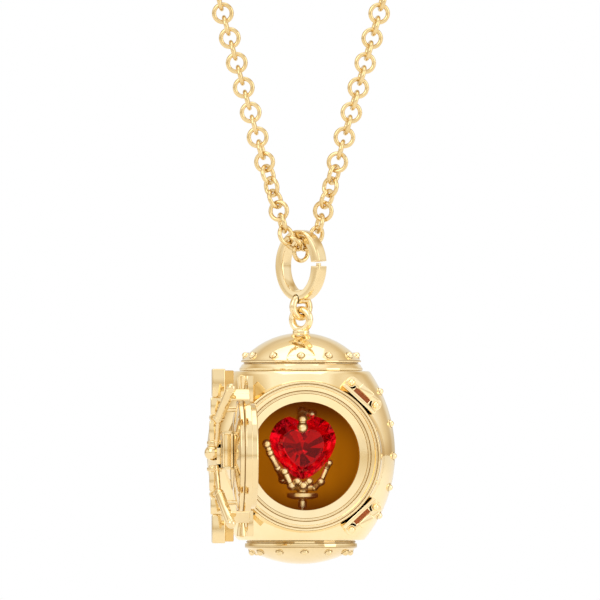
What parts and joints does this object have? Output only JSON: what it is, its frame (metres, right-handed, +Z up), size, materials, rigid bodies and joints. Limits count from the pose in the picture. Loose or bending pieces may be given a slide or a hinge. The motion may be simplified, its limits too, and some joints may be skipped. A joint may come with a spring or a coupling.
{
  "type": "egg locket",
  "caption": "Egg-shaped gold locket built like a riveted vault, its round door open on a heart-cut ruby held by a small hand, hung by a split bail on a round-link chain.",
  "frame": {"origin": "middle of the clasp, at the top of the chain loop, where the necklace hangs from the nape", "axes": "+Z up, -Y the way the locket's mouth faces, +X to the right of someone who looks at the mouth"},
  "size_m": [0.0822, 0.0376, 0.2243],
  "materials": {
    "yellow_gold": "polished 18 carat yellow gold",
    "amber_lining": "smooth amber lining",
    "ruby": "cut and polished red stone"
  },
  "bodies": {
    "necklace": {"chain_links": "yellow_gold", "chain_back": "yellow_gold", "clasp": "yellow_gold", "bail": "yellow_gold", "jump_ring": "yellow_gold"},
    "egg": {"shell": "yellow_gold", "inner_cup": "amber_lining", "top_dome": "yellow_gold", "bottom_dome": "yellow_gold", "keeper_upper": "yellow_gold", "keeper_lower": "yellow_gold", "hinge_lug_upper": "yellow_gold", "hinge_lug_lower": "yellow_gold", "hinge_pin_upper": "yellow_gold", "hinge_pin_lower": "yellow_gold", "pedestal": "yellow_gold", "hand_setting": "yellow_gold", "heart_ruby": "ruby"},
    "door": {"door_plate": "yellow_gold", "door_hub": "yellow_gold", "door_knob": "yellow_gold", "strongback": "yellow_gold", "latch_arm_upper": "yellow_gold", "latch_arm_lower": "yellow_gold", "hinge_arm_upper": "yellow_gold", "hinge_arm_lower": "yellow_gold"}
  },
  "joints": [
    {"name": "egg_swing", "type": "hinge", "parent": "necklace", "child": "egg", "pos_m": [0, 0, -0.19099], "axis": [-0.8192, -0.5736, 0], "range_deg": [-35, 35]},
    {"name": "door_hinge", "type": "hinge", "parent": "egg", "child": "door", "pos_m": [-0.008, -0.0095, -0.20833], "axis": [0, 0, 1], "range_deg": [-4, 90]}
  ]
}
